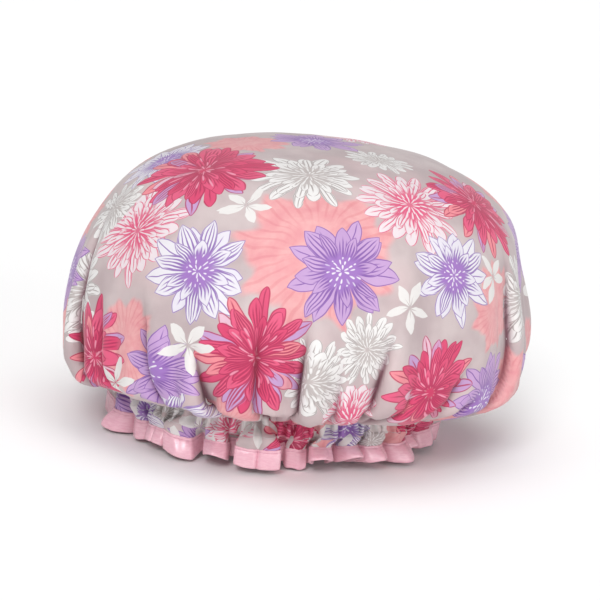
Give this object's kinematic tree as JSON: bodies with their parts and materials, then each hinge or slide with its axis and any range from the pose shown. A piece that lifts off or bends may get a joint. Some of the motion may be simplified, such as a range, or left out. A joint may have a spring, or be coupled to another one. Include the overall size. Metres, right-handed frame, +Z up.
{
  "type": "shower cap",
  "caption": "Bouffant bath cap: a puffed printed shell over a waterproof lining, gathered on an elastic above a ruffle with a folded satin binding.",
  "frame": {"origin": "centre of the bounding box at the level of the binding's lower edge, on which the cap stands", "axes": "+Z up through the crown, -Y towards the forehead, +Y towards the nape"},
  "size_m": [0.2746, 0.2908, 0.174],
  "materials": {
    "printed_cloth": "thin smooth polyester, matt satin, all-over floral print",
    "waterproof_film": "thin milky waterproof film",
    "elastic_knit": "braided white elastic",
    "white_thread": "spun polyester thread",
    "pink_satin": "glossy woven satin",
    "pink_thread": "spun polyester thread"
  },
  "bodies": {
    "root": {"outer_shell": "printed_cloth", "inner_lining": "waterproof_film", "elastic_band": "elastic_knit", "elastic_bar_tack": "white_thread", "hem_binding": "pink_satin", "casing_thread_upper": "white_thread", "casing_thread_lower": "white_thread", "binding_thread": "pink_thread"}
  },
  "joints": []
}
